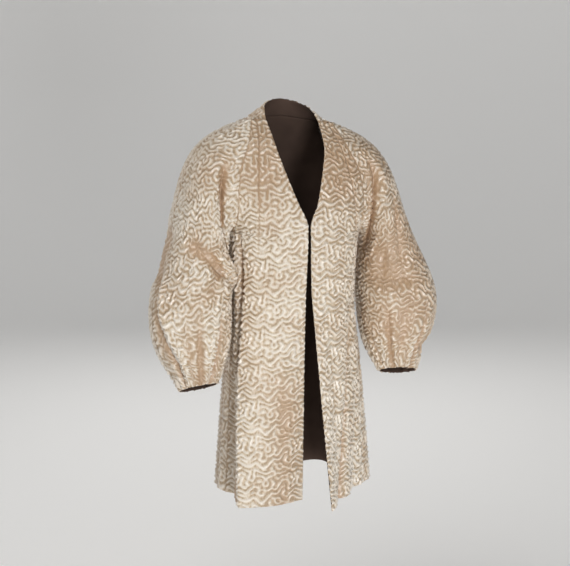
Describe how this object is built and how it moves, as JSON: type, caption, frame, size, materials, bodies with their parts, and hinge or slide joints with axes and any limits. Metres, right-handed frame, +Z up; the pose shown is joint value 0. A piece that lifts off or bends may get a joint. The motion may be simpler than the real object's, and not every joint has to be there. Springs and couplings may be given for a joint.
{
  "type": "evening coat",
  "caption": "Open-fronted evening coat in quilted satin with raglan balloon sleeves, a V neck and a fluted hem, hollow as if worn.",
  "frame": {"origin": "middle of the neck opening, level with the shoulder seams, where the wearer's shoulders hold the coat", "axes": "+Z up, the front faces -Y, +X is the wearer's left"},
  "size_m": [0.7177, 0.4102, 0.9625],
  "materials": {
    "quilted_satin": "champagne satin, quilted all over"
  },
  "bodies": {
    "root": {"front_right": "quilted_satin", "front_left": "quilted_satin", "back": "quilted_satin", "sleeve_front_right": "quilted_satin", "sleeve_back_right": "quilted_satin", "sleeve_front_left": "quilted_satin", "sleeve_back_left": "quilted_satin", "neck_band": "quilted_satin"}
  },
  "joints": []
}
